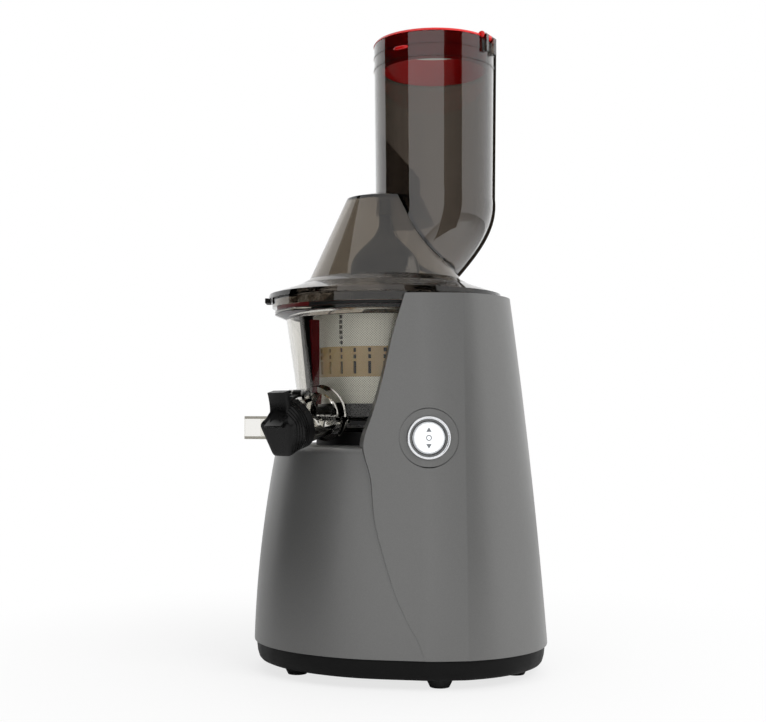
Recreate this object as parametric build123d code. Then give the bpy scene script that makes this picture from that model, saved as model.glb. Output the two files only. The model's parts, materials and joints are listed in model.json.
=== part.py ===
"""Cold press juicer: a tapered housing with a bowl pocket, a clear bowl with strainer and wiper, a lid with a wide
chute, and the drive below. +Z is up, the outlets face -Y, and millimetres are used throughout."""

import os
from math import asin, atan2, cos, degrees, pi, radians, sin

from build123d import *

# ---- driving dimensions: heights above the table ----
FOOT_H = 6.0  # clear height under the base tray
TRAY_TOP_Z = 20.0  # lower edge of the housing
DECK_Z = 158.0  # shelf in front of the tower, on which the bowl stands
TOWER_TOP_Z = 260.0  # flat top of the tower
CHUTE_TOP_Z = 450.5  # rim of the chute
RING_TOP_Z = 452.5  # top of the feed ring

# ---- driving dimensions: plan, measured from the bowl axis ----
BACK_REACH = 113.0  # back of the housing at its foot
CHUTE_Y = 36.7  # the chute stands this far behind the bowl axis

# ---- housing ----
WALL = 2.6
# The flanks and the tower: height, reach to the front and to the back, and half width at the corner line
TOWER_SECTIONS = (
    (TRAY_TOP_Z, 93.5, BACK_REACH, 102.5),
    (90.0, 92.0, 107.0, 98.5),
    (DECK_Z, 92.0, 100.0, 94.5),
    (TOWER_TOP_Z, 105.0, 86.5, 92.0),
)
# The front under the shelf is a slimmer form, which the flanks stand proud of
FRONT_SECTIONS = (
    (TRAY_TOP_Z, 93.5, BACK_REACH - 3.0, 102.2),
    (90.0, 88.5, 103.0, 97.9),
    (DECK_Z, 78.0, 95.0, 93.0),
    (DECK_Z + 20.0, 74.0, 92.0, 91.5),
)
CORNER_Y = 37.0  # soft upright edge between flank and back
FLANK_CENTRE_Y = 52.0  # centre of the ellipse that shapes front and flanks
BACK_RUN = 22.0  # centre of the squarer curve of the back, this far before the corner line
BACK_SQUARENESS = 2.5  # exponent of that curve: 2 is an ellipse
# Front edge of the flank, from the tower's top to the shelf, and on down as a crease: (behind the axis, height)
WING_EDGE = ((-9.5, 233.0), (-24.0, 176.0), (-28.6, 158.0))
CREASE = ((-24.6, 140.0), (-22.6, 116.0), (-16.9, 88.0), (-9.6, 63.0), (4.0, 34.0))
WING_TOP_Y = -2.0
POCKET_TOP_R = 83.0  # round pocket that takes the bowl's rim
POCKET_DECK_R = 68.5
POCKET_STEP_Z = 246.0
SHELF_EDGE_R = 6.5

# ---- base ----
TRAY_SIDE = ((FOOT_H, 14.0), (8.5, 9.0), (12.0, 5.5), (16.0, 4.0), (TRAY_TOP_Z, 3.4))  # height and inset
FOOT_R = 9.5
FEET = ((24.0, -66.0), (82.0, 22.0), (52.0, 82.0))  # one of each pair, from the bowl axis
SCREW_SPOTS = ((42.0, -48.0), (-42.0, -48.0), (74.0, 44.0), (-74.0, 44.0), (0.0, 88.0))
SCREW_Z = FOOT_H + 1.0  # underside of the screw heads
SCREW_LENGTH = 14.0
SHANK_R = 1.7
POST_TOP_Z = 34.0
RIB_LOW_Z = TRAY_TOP_Z + 6.0

# ---- switch on the right flank ----
SWITCH_OUT = 91.4  # the flank's distance from the middle plane here
SWITCH_Y = 13.0  # behind the bowl axis
SWITCH_Z = 164.0
SWITCH_TILT = 1.6  # the flank leans in by this many degrees here
SWITCH_TURN = -10.5  # and faces this many degrees to the back
RECESS_R = 19.9
GROOVE = 0.7
RING_R = 14.6
BUTTON_R = 10.9
ROCK_DEPTH = -4.5  # the button rocks about an axis this far below the ring's foot
TRUNNION_R = 1.5

# ---- bowl ----
BOWL_FOOT_Z = 170.0
BOWL_FLOOR_Z = 178.0
BOWL_RIM_Z = 253.5
BOWL_FLOOR_R = 61.5
BOWL_TOP_R = 71.7
BOWL_WALL = 2.6
RIM_R = 80.0
JUICE_TURN = 36.0  # degrees from straight ahead towards the right
JUICE_TILT = 16.0  # the juice tube slopes down by this much
PULP_TURN = -30.0
ROOT_Z = 181.5  # centre of the tube where it leaves the bowl
ROOT_OUT = 58.0
ROOT_R = 19.5
TUBE_R = 15.5
TUBE_WALL = 2.2
TUBE_LENGTH = 30.0
SPOUT_W = 30.0
SPOUT_H = 17.0
SPOUT_WALL = 2.0
SPOUT_Z = 169.4
SPOUT_ROOT = 52.5
SPOUT_TIP = 106.0
FRONT_REACH = SPOUT_TIP * cos(radians(PULP_TURN)) - SPOUT_W / 2 * sin(radians(PULP_TURN))
AXIS_Y = (FRONT_REACH - BACK_REACH) / 2  # the bowl axis lies here, so that the whole part is centred on the origin
COLLAR_R = 10.0  # collar in the bowl's floor that the auger's shaft runs in
COLLAR_TOP_Z = 186.0

# ---- juice cap, in the frame of its tube ----
CAP_R = 18.7
GRIP_R = 21.0
GRIP_DEPTH = 6.5
LOBES = 5
LEVER_W = 15.0
LEVER_TOP = 25.0
CAP_PIN_UP = TUBE_R + 3.4
CAP_PIN_OUT = TUBE_LENGTH - 8.0

# ---- strainer, wiper and auger ----
STRAINER_TOP_Z = 254.0
STRAINER_RING_Z = 249.5  # lower edge of the strainer's top ring
STRAINER_FOOT_Z = 187.0
STRAINER_TOP_R = 52.6
STRAINER_FOOT_R = 50.0
STRAINER_WALL = 1.2
BAND_LOW_Z = 205.5
BAND_HIGH_Z = 226.5
SLOT_COLUMNS = 30
SLOT_START = 8.0  # degrees from the back to one of the columns
SLOT_W = 2.2
SLOT_ROWS = ((207.6, 8.6), (218.0, 2.8), (222.6, 2.8))  # foot of each row and its height
RIBS = 6
RIB_START = 44.0
HOLE_ROWS = 6  # square holes over each rib, above the band
HOLE_PITCH = 3.6
WIPER_ARMS = 3
WIPER_START = 16.0
WIPER_RING_Z = 249.0  # lower edge of the wiper's top ring
AUGER_FOOT_Z = 191.0
AUGER_SHOULDER_Z = 284.0
AUGER_TOP_Z = 336.0
FLIGHT_R = 44.6
FLIGHT_TWIST = 250.0
FLIGHT_STARTS = 3
HEX_FLATS = 9.0

# ---- lid and chute ----
LID_LOW_Z = 256.0
LID_R = 85.0
FLANGE_Z = 262.0
CONE_FOOT_R = 55.0
CONE_FOOT_Z = 277.0
CONE_TOP_R = 28.0
CONE_TOP_Z = 336.0
CROWN = 7.0  # rise of the cone's closed top
LID_WALL = 2.6
CHUTE_TOP_R = 44.3
CHUTE_FOOT_R = 43.0
CHUTE_WALL = 2.6
# The elbow swings forward below the chute: height, centre behind the axis, radius
ELBOW = ((338.0, CHUTE_Y, CHUTE_FOOT_R), (322.0, 36.2, 42.3), (304.0, 31.0, 39.5), (290.0, 24.5, 36.0),
         (276.0, 16.5, 32.0), (262.0, 6.0, 27.0))
MOUTH_TOP_Z = 318.0  # the cone is open to the elbow below this height
SPINE_W = 8.0  # rib down the back of the chute
SPINE_OUT = 2.6
FIN_TOP_Z = 387.0  # fin that stops fruit from turning with the auger
FIN_TIP_Y = 26.0
FIN_SHOULDER_Z = 352.0
FIN_T = 2.6
RING_SKIRT = 18.5
HINGE_PIN_R = 1.5
HINGE_TURN = 140.0  # the ring's hinge, in degrees from straight ahead towards the right
HINGE_R = 43.0  # from the chute's middle
HINGE_Z = RING_TOP_Z - 0.2
KNUCKLE_R = 2.6

SHAFT_HOLE_R = 19.0  # hole in the shelf for the output socket
INLET_W = 28.0
INLET_H = 20.0
INLET_Z = 42.0

PARTS = {}


def at_axis(shape):
    """Moves what was drawn about the bowl axis to its place."""
    return Pos(0, AXIS_Y, 0) * shape


def tube(outer_low, outer_high, inner_low, inner_high, z_low, z_high):
    """A round sleeve whose outer and inner walls may both taper."""
    profile = Polyline(
        (inner_low, 0, z_low), (outer_low, 0, z_low), (outer_high, 0, z_high), (inner_high, 0, z_high),
        (inner_low, 0, z_low),
    )
    return revolve(make_face(profile), Axis.Z)


def lathe(*points):
    """A solid of revolution from its half section, as (radius, height) points."""
    closed = [(r, 0, z) for r, z in points]
    return revolve(make_face(Polyline(*closed, closed[0])), Axis.Z)


def disc(radius, z_low, z_high, x=0.0, y=0.0):
    return Pos(x, y, z_low) * Cylinder(radius, z_high - z_low, align=(Align.CENTER, Align.CENTER, Align.MIN))


def block(width, depth, z_low, z_high, x=0.0, y=0.0):
    align = (Align.CENTER, Align.CENTER, Align.MIN)
    return Pos(x, y, z_low) * Box(width, depth, z_high - z_low, align=align)


def cross_pin(radius, length, x=0.0):
    """A round bar along X."""
    return Pos(x, 0, 0) * Rot(0, 90, 0) * Cylinder(radius, length)


def around(count, shape, start=0.0):
    """Evenly spaced copies of a shape round the Z axis."""
    return [Rot(0, 0, start + 360.0 * i / count) * shape for i in range(count)]


def side_plate(outline, half_width):
    """A plate with an outline drawn in the YZ plane, as edges, and the same thickness on both sides of it."""
    return extrude(make_face(outline), amount=half_width, both=True, dir=(1, 0, 0))


# ---------------------------------------------------------------- housing


def front_curve(front, half_width):
    """Points of the front and right flank, from the tip to the corner line: part of an ellipse."""
    length = front + FLANK_CENTRE_Y
    end = asin((FLANK_CENTRE_Y - CORNER_Y) / length)
    width = half_width / cos(end)
    turns = [pi / 2 + (end - pi / 2) * i / 6 for i in range(7)]
    points = [(width * cos(t), FLANK_CENTRE_Y - length * sin(t)) for t in turns]
    return points, (width * sin(end), length * cos(end))


def back_curve(back, half_width):
    """Points of the right half of the back, from the corner line to the middle: part of a squarer curve."""
    depth = back - CORNER_Y + BACK_RUN
    power = 2.0 / BACK_SQUARENESS
    start = asin((BACK_RUN / depth) ** (1 / power))
    width = half_width / cos(start) ** power
    turns = [start + (pi / 2 - start) * i / 5 for i in range(6)]
    points = [(width * cos(t) ** power, CORNER_Y - BACK_RUN + depth * sin(t) ** power) for t in turns]
    points[-1] = (0.0, back)
    lean = width * cos(start) ** (power - 1) * sin(start), depth * sin(start) ** (power - 1) * cos(start)
    return points, (-lean[0], lean[1])


def plan_outline(z, front, back, half_width, inset=0.0):
    """One egg-shaped section, with a soft corner where each flank meets the back."""
    nose, nose_end = front_curve(front - inset, half_width - inset)
    tail, tail_start = back_curve(back - inset, half_width - inset)
    mirror = [(-x, y) for x, y in nose], [(-x, y) for x, y in tail]
    edges = [
        Spline(*nose, tangents=((1, 0), nose_end)),
        Spline(*tail, tangents=(tail_start, (-1, 0))),
        Spline(*reversed(mirror[1]), tangents=((-1, 0), (tail_start[0], -tail_start[1]))),
        Spline(*reversed(mirror[0]), tangents=((nose_end[0], -nose_end[1]), (1, 0))),
    ]
    return Pos(0, 0, z) * make_face(edges)


def tapered_form(sections, inset):
    return loft([plan_outline(*section, inset=inset) for section in sections])


def ahead_of_flanks(gap):
    """The space in front of the flanks' edge and crease. A gap moves it back, for the wall behind the edge."""
    line = [(0, y + gap, z) for y, z in ((WING_TOP_Y, TOWER_TOP_Z), *WING_EDGE, *CREASE)]
    above, below, front = TOWER_TOP_Z + 40.0, 0.0, -200.0
    edge = Spline(*line)
    rest = Polyline(
        line[-1], (0, line[-1][1] + 12.0, below), (0, front, below), (0, front, above),
        (0, WING_TOP_Y + gap + 10.0, above), line[0],
    )
    return side_plate([edge, rest], 200.0)


def bowl_room(gap):
    """The round pocket that takes the bowl. A gap makes it larger, for the wall that lines it."""
    return lathe(
        (0, DECK_Z - gap),
        (POCKET_DECK_R + gap, DECK_Z - gap),
        (POCKET_TOP_R - 5.0 + gap, POCKET_STEP_Z - 6.0),
        (POCKET_TOP_R + gap, POCKET_STEP_Z),
        (POCKET_TOP_R + gap, TOWER_TOP_Z + 40.0),
        (0, TOWER_TOP_Z + 40.0),
    )


def front_form(inset):
    """The slimmer form under the shelf, with the shelf's edge rounded."""
    form = tapered_form(FRONT_SECTIONS, inset) - block(400, 400, DECK_Z - inset, DECK_Z + 60.0)
    rim = form.edges().group_by(Axis.Z)[-1]
    return fillet(rim, SHELF_EDGE_R - inset)


def housing_form(inset):
    """Tower, flanks and front, less the bowl's pocket."""
    flanks = tapered_form(TOWER_SECTIONS, inset) - ahead_of_flanks(inset) - bowl_room(inset)
    return flanks + front_form(inset)


def switch_place():
    """The plane of the switch: its Z axis points out of the flank."""
    turn = radians(SWITCH_TURN)
    return Plane(
        origin=(SWITCH_OUT, SWITCH_Y, SWITCH_Z),
        x_dir=(-sin(turn), cos(turn), 0),
        z_dir=(cos(turn), sin(turn), sin(radians(SWITCH_TILT))),
    ).location


def switch_disc(radius, low, high):
    """A disc on the switch's axis, from low to high along its outward direction."""
    align = (Align.CENTER, Align.CENTER, Align.MIN)
    return switch_place() * Pos(0, 0, low) * Cylinder(radius, high - low, align=align)


def inlet_room():
    return Pos(0, BACK_REACH - 20, INLET_Z) * Box(INLET_W, 60, INLET_H)


def screw_posts():
    """Posts for the tray's screws, each tied to the wall by a rib."""
    posts = []
    for x, y in SCREW_SPOTS:
        rib = Rot(0, 0, degrees(atan2(y, x))) * block(60, 3, RIB_LOW_Z, POST_TOP_Z, x=30)
        posts.append(Pos(x, y, 0) * (disc(4.6, SCREW_Z + 6.5, POST_TOP_Z) + rib - disc(SHANK_R, 0, 60)))
    return posts


def make_housing():
    """Outer shell of the base, hollowed by the same forms one wall further in, and the disc round the switch."""
    outer = housing_form(0.0)
    core = housing_form(WALL) - block(400, 400, TOWER_TOP_Z - WALL, TOWER_TOP_Z + 10)
    shell = outer - core - block(400, 400, 0, TRAY_TOP_Z + 0.01)
    shell -= disc(SHAFT_HOLE_R, DECK_Z - 20, DECK_Z + 1)
    surround = shell & switch_disc(RECESS_R - GROOVE, -1.9, 20)
    PARTS["switch_surround"] = at_axis(surround - switch_disc(RING_R + 0.1, -20, 20))
    shell -= switch_disc(RECESS_R, -1.9, 20)
    shell -= switch_disc(RING_R + 0.2, -20, 20)
    room = tapered_form(TOWER_SECTIONS, 1.0) & block(400, 400, 0, POST_TOP_Z + 1)
    for post in screw_posts():
        shell += (post & room) + (post & block(400, 400, 0, RIB_LOW_Z))
    PARTS["housing"] = at_axis(shell - inlet_room())


def tray_outline(z, inset):
    return plan_outline(z, *TOWER_SECTIONS[0][1:], inset=inset)


def make_tray():
    """Black tray that closes the housing from below, drawn in towards the table, with vents under the motor."""
    tray = loft([tray_outline(z, inset) for z, inset in TRAY_SIDE], ruled=True)
    tray += loft([tray_outline(TRAY_TOP_Z, WALL + 2.2), tray_outline(TRAY_TOP_Z + 5, WALL + 2.6)])
    tray -= loft([tray_outline(FOOT_H + 3, TRAY_SIDE[0][1] + 3), tray_outline(TRAY_TOP_Z + 6, WALL + 4.6)])
    for x in range(-3, 4):
        tray -= block(4, 44, FOOT_H - 1, FOOT_H + 4, x=9.0 * x)
    for x, y in FEET:
        for side in (-1, 1):
            tray += disc(FOOT_R + 1.5, FOOT_H + 1, FOOT_H + 7, x=side * x, y=y)
            tray -= disc(FOOT_R - 2.0, FOOT_H - 1, FOOT_H + 3.5, x=side * x, y=y)
    PARTS["base_tray"] = at_axis(tray)


def make_feet():
    """Rubber feet, plugged into the tray."""
    feet = []
    for x, y in FEET:
        for side in (-1, 1):
            foot = lathe((0, 0), (FOOT_R - 3, 0), (FOOT_R, FOOT_H), (FOOT_R - 2, FOOT_H), (FOOT_R - 2, 9.4), (0, 9.4))
            feet.append(Pos(side * x, y + AXIS_Y, 0) * foot)
    PARTS["rubber_feet"] = Compound(children=feet)


def screw():
    """Pan-head screw driven upwards, with a cross slot left to the finish."""
    top = SCREW_Z + SCREW_LENGTH
    return lathe((0, SCREW_Z), (3.4, SCREW_Z), (3.4, SCREW_Z + 2.2), (SHANK_R, SCREW_Z + 2.2), (SHANK_R, top), (0, top))


def make_tray_screws():
    """Screws through the tray into the housing's posts."""
    for x, y in SCREW_SPOTS:
        place = Pos(x, y + AXIS_Y, 0)
        PARTS["base_tray"] += place * disc(6.0, SCREW_Z, SCREW_Z + 6.0)
        PARTS["base_tray"] -= place * disc(3.6, 0, SCREW_Z + 2.2)
        PARTS["base_tray"] -= place * disc(SHANK_R + 0.2, 0, 60)
    screws = [Pos(x, y + AXIS_Y, 0) * screw() for x, y in SCREW_SPOTS]
    PARTS["tray_screws"] = Compound(children=screws)


def make_inlet():
    """Mains inlet at the back, low down: a flanged block with three recessed pins."""
    back = BACK_REACH - 3.0
    body = Pos(0, back - 14, INLET_Z) * Box(INLET_W - 0.4, 28, INLET_H - 0.4)
    body -= Pos(0, back - 5, INLET_Z) * Box(INLET_W - 6, 18, INLET_H - 6)
    PARTS["mains_inlet"] = at_axis(body)
    pins = [Pos(x, AXIS_Y + back - 9.5, INLET_Z + z) * Box(2, 9, 4) for x, z in ((-7, -2), (0, 1), (7, -2))]
    PARTS["inlet_pins"] = Compound(children=pins)


def make_switch():
    """Round switch on the right flank: a bright ring and a rocker held in its middle on two short trunnions."""
    ring = switch_disc(RING_R, -9.0, 1.8) - switch_disc(BUTTON_R + 0.4, -12, 5)
    ring = fillet(ring.edges().group_by(SortBy.LENGTH)[-1], 0.8)
    PARTS["switch_ring"] = at_axis(ring)
    cell = switch_disc(RING_R - 0.5, -17.0, -9.3) - switch_disc(BUTTON_R, -15.0, -9.0)
    PARTS["switch_cell"] = at_axis(cell)
    pivot = switch_place() * Pos(0, 0, ROCK_DEPTH)
    button = switch_disc(BUTTON_R, ROCK_DEPTH, 0.6) & pivot * Sphere(BUTTON_R)
    button += pivot * cross_pin(TRUNNION_R, 2 * BUTTON_R)
    PARTS["switch_button"] = at_axis(button + switch_disc(2.5, -9.0, ROCK_DEPTH + 0.5))


# ---------------------------------------------------------------- drive


def hexagon(flats, z_low, z_high):
    return Pos(0, 0, z_low) * extrude(RegularPolygon(flats / 2, 6, major_radius=False), amount=z_high - z_low)


def make_drive():
    """Motor, planetary reducer and the output socket that turns the auger."""
    can = lathe((0, 36), (34, 36), (37, 39), (37, 96), (34, 99), (0, 99)) - disc(4.2, 30, 120)
    can -= disc(30.0, 44, 91)
    PARTS["motor_can"] = at_axis(can)
    PARTS["motor_windings"] = at_axis(tube(29.5, 29.5, 20.5, 20.5, 48, 87))
    rotor = disc(19.5, 50, 85) + disc(4.0, 24, 104)
    rotor += lathe((4, 24), (24, 24), (24, 27), (4, 30))
    PARTS["motor_rotor"] = at_axis(rotor)
    gearbox = disc(41, 99.4, 138) - disc(36, 103, 134) - disc(5.0, 99, 104) - disc(9.1, 130, 140)
    PARTS["gearbox"] = at_axis(gearbox)
    gear = disc(34, 112, 124) + disc(9.0, 108, 152)
    gear += disc(13.0, 144, 166)
    gear -= hexagon(HEX_FLATS + 0.3, 150, 167)
    PARTS["output_gear"] = at_axis(gear)
    bearing = disc(17.4, 146, 154.6) - disc(13.06, 140, 160)
    PARTS["output_bearing"] = at_axis(bearing)
    ears = [Rot(0, 0, a) * block(13, 9, 99.4, 103.4, y=44.5) for a in (45, 135, 225, 315)]
    PARTS["gearbox"] += [at_axis(ear) for ear in ears]
    board = Pos(0, 66, 92) * Box(64, 1.6, 70)
    for x, z, width, height in ((-18, 104, 16, 22), (14, 108, 20, 14), (6, 78, 26, 12)):
        board += Pos(x, 66 + 0.8 + 4.5, z) * Box(width, 9, height)
    PARTS["control_board"] = at_axis(board)


def make_seat():
    """Black seat on the shelf, with its sealing lip round the output socket and two locking lugs."""
    seat = tube(50, 49, 14.2, 14.2, DECK_Z, 167) - disc(44, 161, 170) + tube(16.5, 16.5, 14.2, 14.2, DECK_Z, 168.5)
    seat += tube(18.6, 18.6, 14.2, 14.2, 152, DECK_Z + 1)
    seat -= disc(18.2, 140, 154.8)
    PARTS["bowl_seat"] = at_axis(seat)


# ---------------------------------------------------------------- bowl


def bowl_outer():
    return lathe(
        (0, BOWL_FOOT_Z), (42, BOWL_FOOT_Z), (43, BOWL_FLOOR_Z - 3), (BOWL_FLOOR_R - 3, BOWL_FLOOR_Z - 3),
        (BOWL_FLOOR_R, BOWL_FLOOR_Z), (BOWL_TOP_R, BOWL_RIM_Z - 6), (RIM_R, BOWL_RIM_Z - 2.5), (RIM_R, BOWL_RIM_Z),
        (0, BOWL_RIM_Z),
    )


def bowl_inner():
    return lathe(
        (0, BOWL_FLOOR_Z), (BOWL_FLOOR_R - BOWL_WALL - 1, BOWL_FLOOR_Z),
        (BOWL_TOP_R - BOWL_WALL, BOWL_RIM_Z - 6), (BOWL_TOP_R - BOWL_WALL + 1, BOWL_RIM_Z + 1), (0, BOWL_RIM_Z + 1),
    )


def ahead(turn):
    """Turns what is drawn towards -Y to an outlet's direction."""
    return Rot(0, 0, turn)


def rod(radius, near, far, z=0.0):
    """A round bar that points straight ahead, from near to far."""
    return Pos(0, -near, z) * Rot(90, 0, 0) * Cylinder(radius, far - near, align=(Align.CENTER, Align.CENTER, Align.MIN))


def juice_axis():
    """The place and slope of the juice tube: its -Y runs out along the tube."""
    return ahead(JUICE_TURN) * Pos(0, -ROOT_OUT, ROOT_Z) * Rot(JUICE_TILT, 0, 0)


def make_bowl():
    """Clear bowl with its two outlets, both let into the wall beside the floor."""
    root = juice_axis() * (rod(ROOT_R, 0, 7) + rod(TUBE_R, 0, TUBE_LENGTH))
    mouth = juice_axis() * rod(TUBE_R - TUBE_WALL, -9, 8) & block(400, 400, BOWL_FLOOR_Z, 300)
    bowl = bowl_outer() + (root - bowl_outer()) - bowl_inner()
    bowl = bowl - juice_axis() * rod(TUBE_R - TUBE_WALL, 1.5, 60) - mouth
    bowl -= disc(COLLAR_R - 3.0, 150, 200)
    bowl += tube(COLLAR_R, COLLAR_R, COLLAR_R - 3.0, COLLAR_R - 3.0, BOWL_FLOOR_Z - 4, COLLAR_TOP_Z)
    bowl -= tube(39.5, 39.5, 16, 16, BOWL_FOOT_Z - 1, BOWL_FLOOR_Z - 3)
    bowl -= pulp_form(SPOUT_W, SPOUT_H, SPOUT_ROOT, 130)
    bowl -= ahead(PULP_TURN) * block(SPOUT_W - 6, 4.6, 160, 190, y=-55.4)
    PARTS["juicing_bowl"] = at_axis(bowl)


def pulp_form(width, height, near, far):
    bar = Pos(0, -(near + far) / 2, SPOUT_Z) * Box(width, far - near, height)
    return ahead(PULP_TURN) * bar


def make_pulp_spout():
    """Square clear spout that leads the pulp away from under the bowl."""
    spout = pulp_form(SPOUT_W - 0.02, SPOUT_H - 0.02, SPOUT_ROOT + 0.01, SPOUT_TIP)
    spout -= pulp_form(SPOUT_W - 2 * SPOUT_WALL, SPOUT_H - 2 * SPOUT_WALL, SPOUT_ROOT + 2, SPOUT_TIP + 20)
    spout -= ahead(PULP_TURN) * block(SPOUT_W - 6, 4.6, SPOUT_Z, 190, y=-55.4)
    PARTS["pulp_spout"] = at_axis(spout)


def make_bowl_trim():
    """Seals of the bowl: rim gasket, foot gasket and the plug of the pulp channel."""
    PARTS["rim_gasket"] = at_axis(tube(78.5, 78.5, 73.5, 73.5, BOWL_RIM_Z, LID_LOW_Z))
    foot = tube(56.5, 57.5, 52.0, 52.0, BOWL_FLOOR_Z - 6.0, BOWL_FLOOR_Z - 3)
    clear = pulp_form(SPOUT_W + 2, SPOUT_H + 2, 30, 130) + juice_axis() * rod(ROOT_R + 1, -30, 60)
    PARTS["foot_gasket"] = at_axis(foot - clear)
    handle = ahead(180 + PULP_TURN) * Pos(0, -28, 0) * block(12, 16, BOWL_FOOT_Z + 1, BOWL_FLOOR_Z - 3)
    PARTS["pulp_plug"] = at_axis(handle)
    seal = tube(COLLAR_R - 3.02, COLLAR_R - 3.02, 4.75, 4.75, COLLAR_TOP_Z - 6, COLLAR_TOP_Z)
    PARTS["shaft_seal"] = at_axis(seal - hexagon(HEX_FLATS + 0.3, 170, 200) - disc(5.4, 170, 200))


# ---------------------------------------------------------------- strainer


def strainer_r(z):
    share = (z - STRAINER_FOOT_Z) / (STRAINER_TOP_Z - STRAINER_FOOT_Z)
    return STRAINER_FOOT_R + (STRAINER_TOP_R - STRAINER_FOOT_R) * share


def strainer_sleeve(z_low, z_high, out, wall):
    r_low, r_high = strainer_r(z_low) + out, strainer_r(z_high) + out
    return tube(r_low, r_high, r_low - wall, r_high - wall, z_low, z_high)


def make_strainer():
    """Basket of the strainer: steel mesh above and below a band of slotted resin, in a black frame."""
    frame = tube(strainer_r(STRAINER_RING_Z), STRAINER_TOP_R + 1.4, STRAINER_FOOT_R - 2.2, STRAINER_FOOT_R - 1.8,
                 STRAINER_RING_Z, STRAINER_TOP_Z)
    floor = tube(STRAINER_FOOT_R, STRAINER_FOOT_R, COLLAR_R + 0.5, COLLAR_R + 0.5, STRAINER_FOOT_Z - 3,
                 STRAINER_FOOT_Z)
    rib = block(3.4, 3.0, STRAINER_FOOT_Z - 1, STRAINER_RING_Z + 1, y=STRAINER_FOOT_R - 3.2)
    PARTS["strainer_frame"] = at_axis(frame + floor + around(RIBS, rib, RIB_START))
    lower = strainer_sleeve(STRAINER_FOOT_Z, BAND_LOW_Z, 0, STRAINER_WALL)
    upper = strainer_sleeve(BAND_HIGH_Z, STRAINER_RING_Z, 0, STRAINER_WALL)
    for row in range(HOLE_ROWS):
        z = BAND_HIGH_Z + HOLE_PITCH * (row + 0.75)
        upper -= around(RIBS, Pos(0, strainer_r(z), z) * Box(2.8, 4, 2.6), RIB_START)
    PARTS["strainer_mesh"] = Compound(children=[at_axis(lower), at_axis(upper)])
    band = strainer_sleeve(BAND_LOW_Z, BAND_HIGH_Z, 0.2, STRAINER_WALL + 0.2)
    for z, height in SLOT_ROWS:
        slot = Pos(0, strainer_r(z), z + height / 2) * Box(SLOT_W, 8, height)
        band -= around(SLOT_COLUMNS, slot, SLOT_START)
    PARTS["strainer_band"] = at_axis(band)


def make_wiper():
    """Rotating wiper between bowl and strainer: two rings joined by posts, each with a red blade."""
    low_z, high_z = BOWL_FLOOR_Z + 0.8, WIPER_RING_Z
    foot_ring = tube(57.0, 57.5, 53.6, 53.6, low_z, low_z + 6)
    head_ring = tube(66.2, 66.6, 60.0, 60.2, high_z, high_z + 3.4)
    post = side_plate(
        Polyline((0, -54.4, low_z + 1), (0, -57.0, low_z + 1), (0, -65.6, high_z + 1), (0, -58.4, high_z + 1),
                 (0, -54.4, low_z + 1)), 2.8
    )
    blade = side_plate(
        Polyline((0, -53.3, low_z + 8), (0, -56.2, low_z + 8), (0, -60.4, high_z - 3), (0, -53.8, high_z - 3),
                 (0, -53.3, low_z + 8)), 1.2
    )
    PARTS["wiper_frame"] = at_axis(foot_ring + head_ring + around(WIPER_ARMS, post, WIPER_START))
    blades = around(WIPER_ARMS, Pos(4.02, 0, 0) * blade, WIPER_START)
    PARTS["wiper_blades"] = Compound(children=[at_axis(b) for b in blades])


# ---------------------------------------------------------------- auger


def make_auger():
    """Squeezing auger: a core with helical flights, a bell-shaped head and a centring pin."""
    core_r = 24.5
    height = AUGER_SHOULDER_Z - 14 - AUGER_FOOT_Z
    section = Circle(core_r)
    for i in range(FLIGHT_STARTS):
        fin = Polyline(
            (core_r - 3, -7), (FLIGHT_R - 2.0, -1.4), (FLIGHT_R, 0.6), (FLIGHT_R - 1.2, 2.6), (core_r - 3, 4.5),
            (core_r - 3, -7),
        )
        section += Rot(0, 0, 360.0 * i / FLIGHT_STARTS) * make_face(fin)
    turned = Solid.extrude_linear_with_rotation(
        section.face(), center=(0, 0, 0), normal=(0, 0, height), angle=-FLIGHT_TWIST
    )
    flights = Pos(0, 0, AUGER_FOOT_Z) * turned
    top = AUGER_SHOULDER_Z
    head = make_face(
        [
            Line((0, 0, AUGER_FOOT_Z), (core_r, 0, AUGER_FOOT_Z)),
            Line((core_r, 0, AUGER_FOOT_Z), (core_r + 0.6, 0, top)),
            Spline((core_r + 0.6, 0, top), (19.0, 0, top + 14), (8.2, 0, top + 25), (4.4, 0, top + 38)),
            Polyline((4.4, 0, top + 38), (4.0, 0, AUGER_TOP_Z - 1), (3.0, 0, AUGER_TOP_Z), (0, 0, AUGER_TOP_Z)),
            Line((0, 0, AUGER_TOP_Z), (0, 0, AUGER_FOOT_Z)),
        ]
    )
    auger = flights + revolve(head, Axis.Z)
    auger -= hexagon(HEX_FLATS, AUGER_FOOT_Z - 1, AUGER_FOOT_Z + 30)
    PARTS["auger"] = at_axis(auger)
    shaft = hexagon(HEX_FLATS, 152, AUGER_FOOT_Z + 29.8)
    PARTS["auger_shaft"] = at_axis(shaft)


# ---------------------------------------------------------------- lid and chute


def lid_outer():
    """Flange, shoulder and cone of the lid, as a filled form."""
    return lathe(
        (0, LID_LOW_Z), (LID_R - 3, LID_LOW_Z), (LID_R - 3, FLANGE_Z), (LID_R, FLANGE_Z),
        (LID_R - 1, FLANGE_Z + 3.5), (CONE_FOOT_R + 8, CONE_FOOT_Z - 4.5), (CONE_FOOT_R, CONE_FOOT_Z),
        (CONE_TOP_R, CONE_TOP_Z), (0, CONE_TOP_Z + CROWN),
    )


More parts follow.
